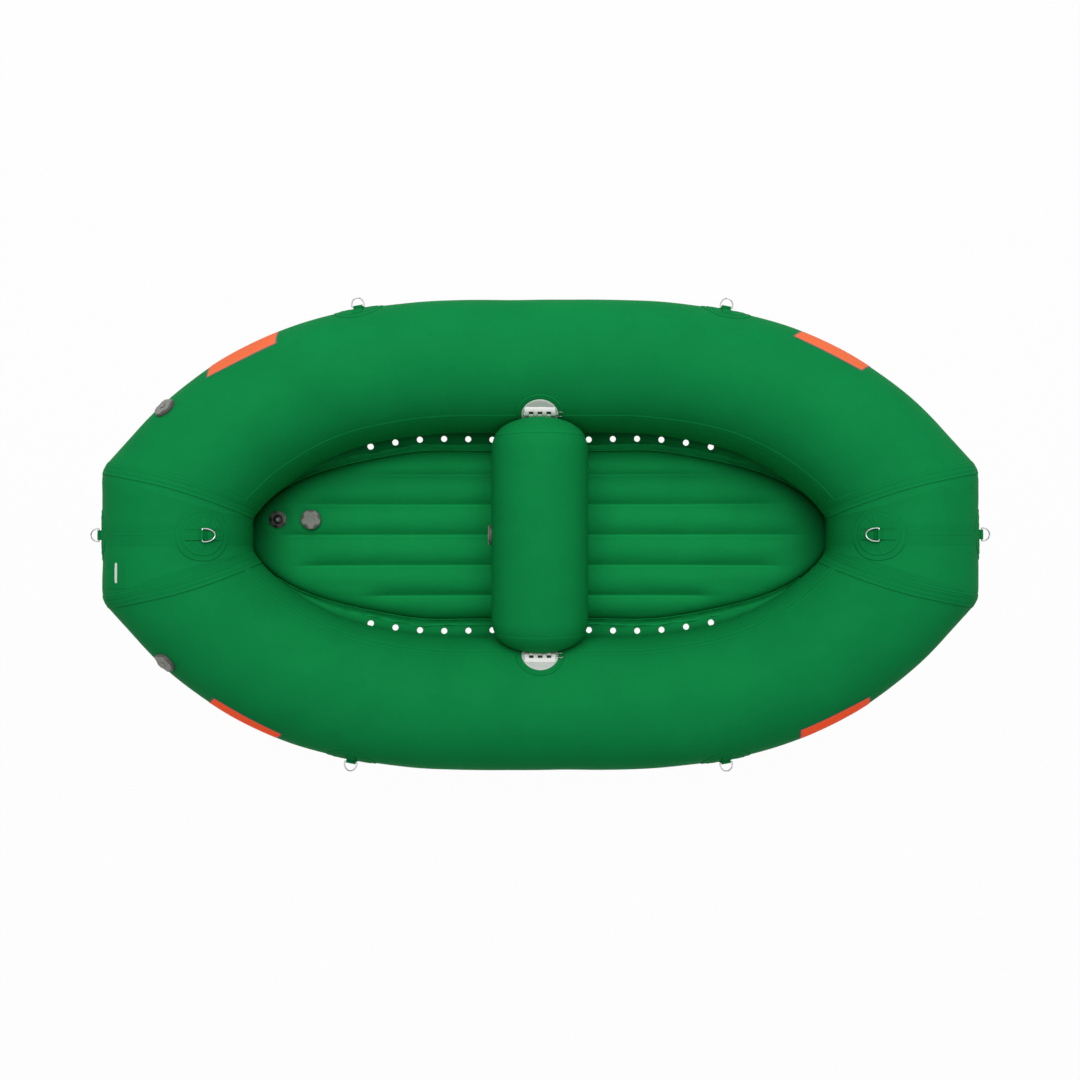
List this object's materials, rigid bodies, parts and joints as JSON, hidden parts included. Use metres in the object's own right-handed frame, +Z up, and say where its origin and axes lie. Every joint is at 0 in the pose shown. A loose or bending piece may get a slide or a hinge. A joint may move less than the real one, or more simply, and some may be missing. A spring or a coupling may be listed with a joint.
{
  "type": "self-bailing inflatable raft",
  "caption": "Small self-bailing whitewater raft: inflated hull ring with rockered ends, channelled floor with drain skirts, and a cross thwart on pinned hinge plates.",
  "frame": {"origin": "centre of the bounding box in plan, on the level plane the side tubes rest on", "axes": "+X to the bow, +Y to port, +Z up"},
  "size_m": [3.0678, 1.714, 0.6312],
  "materials": {
    "green_skin": "rubber-coated fabric, satin",
    "green_trim": "rubber-coated fabric tape and patches, satin",
    "inner_fabric": "uncoated inner fabric, matte",
    "hinge_plastic": "moulded, slightly satin",
    "valve_plastic": "moulded, satin",
    "valve_body_plastic": "moulded, matte",
    "stainless_steel": "polished stainless steel"
  },
  "bodies": {
    "raft": {"bow_baffle": "inner_fabric", "bow_centre_tape": "green_trim", "bow_outer_ring_patch": "green_trim", "bow_top_ring_patch": "green_trim", "bow_tube": "green_skin", "floor_bottom_skin": "green_skin", "floor_top_skin": "green_skin", "floor_valve_body": "valve_body_plastic", "floor_web_centre": "inner_fabric", "floor_web_port_inner": "inner_fabric", "floor_web_port_outer": "inner_fabric", "floor_web_starboard_inner": "inner_fabric", "floor_web_starboard_outer": "inner_fabric", "port_bow_mitre_tape": "green_trim", "port_bow_ring_patch": "green_trim", "port_drain_skirt": "green_trim", "port_hull_hinge_plate": "hinge_plastic", "port_hull_valve_body": "valve_body_plastic", "port_seam_strip": "green_trim", "port_side_tube": "green_skin", "port_stern_mitre_tape": "green_trim", "port_stern_ring_patch": "green_trim", "port_thwart_cap": "green_skin", "port_thwart_hinge_leaf": "hinge_plastic", "relief_valve_body": "valve_body_plastic", "starboard_bow_mitre_tape": "green_trim", "starboard_bow_ring_patch": "green_trim", "starboard_drain_skirt": "green_trim", "starboard_hull_hinge_plate": "hinge_plastic", "starboard_hull_valve_body": "valve_body_plastic", "starboard_seam_strip": "green_trim", "starboard_side_tube": "green_skin", "starboard_stern_mitre_tape": "green_trim", "starboard_stern_ring_patch": "green_trim", "starboard_thwart_cap": "green_skin", "starboard_thwart_hinge_leaf": "hinge_plastic", "stern_baffle": "inner_fabric", "stern_centre_tape": "green_trim", "stern_outer_ring_patch": "green_trim", "stern_top_ring_patch": "green_trim", "stern_tube": "green_skin", "thwart_sleeve": "green_skin", "thwart_valve_body": "valve_body_plastic"},
    "bow_outer_d_ring": {"bow_outer_d_ring": "stainless_steel"},
    "bow_top_d_ring": {"bow_top_d_ring": "stainless_steel"},
    "port_bow_d_ring": {"port_bow_d_ring": "stainless_steel"},
    "port_stern_d_ring": {"port_stern_d_ring": "stainless_steel"},
    "starboard_bow_d_ring": {"starboard_bow_d_ring": "stainless_steel"},
    "starboard_stern_d_ring": {"starboard_stern_d_ring": "stainless_steel"},
    "stern_outer_d_ring": {"stern_outer_d_ring": "stainless_steel"},
    "stern_top_d_ring": {"stern_top_d_ring": "stainless_steel"},
    "port_hinge_pin": {"port_hinge_pin": "stainless_steel"},
    "port_pull_ring": {"port_pull_ring": "stainless_steel"},
    "starboard_hinge_pin": {"starboard_hinge_pin": "stainless_steel"},
    "starboard_pull_ring": {"starboard_pull_ring": "stainless_steel"},
    "floor_valve_cap": {"floor_valve_cap": "valve_plastic"},
    "port_hull_valve_cap": {"port_hull_valve_cap": "valve_plastic"},
    "starboard_hull_valve_cap": {"starboard_hull_valve_cap": "valve_plastic"},
    "thwart_valve_cap": {"thwart_valve_cap": "valve_plastic"},
    "relief_valve_poppet": {"relief_valve_poppet": "valve_body_plastic"}
  },
  "joints": [
    {"name": "bow_outer_d_ring_hinge", "type": "hinge", "parent": "raft", "child": "bow_outer_d_ring", "pos_m": [1.49599, 0, 0.48956], "axis": [0, -1, 0], "range_deg": [-47, 147]},
    {"name": "bow_top_d_ring_hinge", "type": "hinge", "parent": "raft", "child": "bow_top_d_ring", "pos_m": [1.10532, 0, 0.58986], "axis": [0, -1, 0], "range_deg": [-194, 0]},
    {"name": "port_bow_d_ring_hinge", "type": "hinge", "parent": "raft", "child": "port_bow_d_ring", "pos_m": [0.6646, 0.81044, 0.35004], "axis": [0.9746, -0.2043, 0.0916], "range_deg": [-47, 147]},
    {"name": "port_stern_d_ring_hinge", "type": "hinge", "parent": "raft", "child": "port_stern_d_ring", "pos_m": [-0.64701, 0.81404, 0.34842], "axis": [0.9768, 0.1954, -0.0873], "range_deg": [-47, 147]},
    {"name": "starboard_bow_d_ring_hinge", "type": "hinge", "parent": "raft", "child": "starboard_bow_d_ring", "pos_m": [0.66209, -0.81096, 0.3498], "axis": [-0.9749, -0.2031, -0.091], "range_deg": [-47, 147]},
    {"name": "starboard_stern_d_ring_hinge", "type": "hinge", "parent": "raft", "child": "starboard_stern_d_ring", "pos_m": [-0.67315, -0.80863, 0.35085], "axis": [-0.9735, 0.2087, 0.0937], "range_deg": [-47, 147]},
    {"name": "stern_outer_d_ring_hinge", "type": "hinge", "parent": "raft", "child": "stern_outer_d_ring", "pos_m": [-1.49599, 0, 0.48956], "axis": [0, 1, 0], "range_deg": [-47, 147]},
    {"name": "stern_top_d_ring_hinge", "type": "hinge", "parent": "raft", "child": "stern_top_d_ring", "pos_m": [-1.10532, 0, 0.58986], "axis": [0, 1, 0], "range_deg": [-194, 0]},
    {"name": "port_hinge_pin_slide", "type": "slide", "parent": "raft", "child": "port_hinge_pin", "axis": [1, 0, 0], "range_m": [0, 0.112]},
    {"name": "port_pull_ring_hinge", "type": "hinge", "parent": "port_hinge_pin", "child": "port_pull_ring", "pos_m": [0.06125, 0.423, 0.39096], "axis": [0, -0.6157, -0.788], "range_deg": [0, 90]},
    {"name": "starboard_hinge_pin_slide", "type": "slide", "parent": "raft", "child": "starboard_hinge_pin", "axis": [1, 0, 0], "range_m": [0, 0.112]},
    {"name": "starboard_pull_ring_hinge", "type": "hinge", "parent": "starboard_hinge_pin", "child": "starboard_pull_ring", "pos_m": [0.06125, -0.423, 0.39096], "axis": [0, -0.6157, 0.788], "range_deg": [0, 90]},
    {"name": "floor_valve_cap_twist", "type": "hinge", "parent": "raft", "child": "floor_valve_cap", "pos_m": [-0.86427, 0.05852, 0.16858], "axis": [0.1626, 0, 0.9867], "range_deg": [0, 90]},
    {"name": "port_hull_valve_cap_twist", "type": "hinge", "parent": "raft", "child": "port_hull_valve_cap", "pos_m": [-1.25614, 0.42465, 0.5211], "axis": [-0.4545, 0.5793, 0.6767], "range_deg": [0, 90]},
    {"name": "starboard_hull_valve_cap_twist", "type": "hinge", "parent": "raft", "child": "starboard_hull_valve_cap", "pos_m": [-1.25614, -0.42465, 0.5211], "axis": [-0.4545, -0.5793, 0.6767], "range_deg": [0, 90]},
    {"name": "thwart_valve_cap_twist", "type": "hinge", "parent": "raft", "child": "thwart_valve_cap", "pos_m": [-0.17378, 0, 0.305], "axis": [-1, 0, 0], "range_deg": [0, 90]},
    {"name": "relief_valve_poppet_slide", "type": "slide", "parent": "raft", "child": "relief_valve_poppet", "axis": [0.0836, 0, 0.9965], "range_m": [-0.004, 0], "stiffness_N_per_m": 200, "springref_m": 0.002}
  ]
}
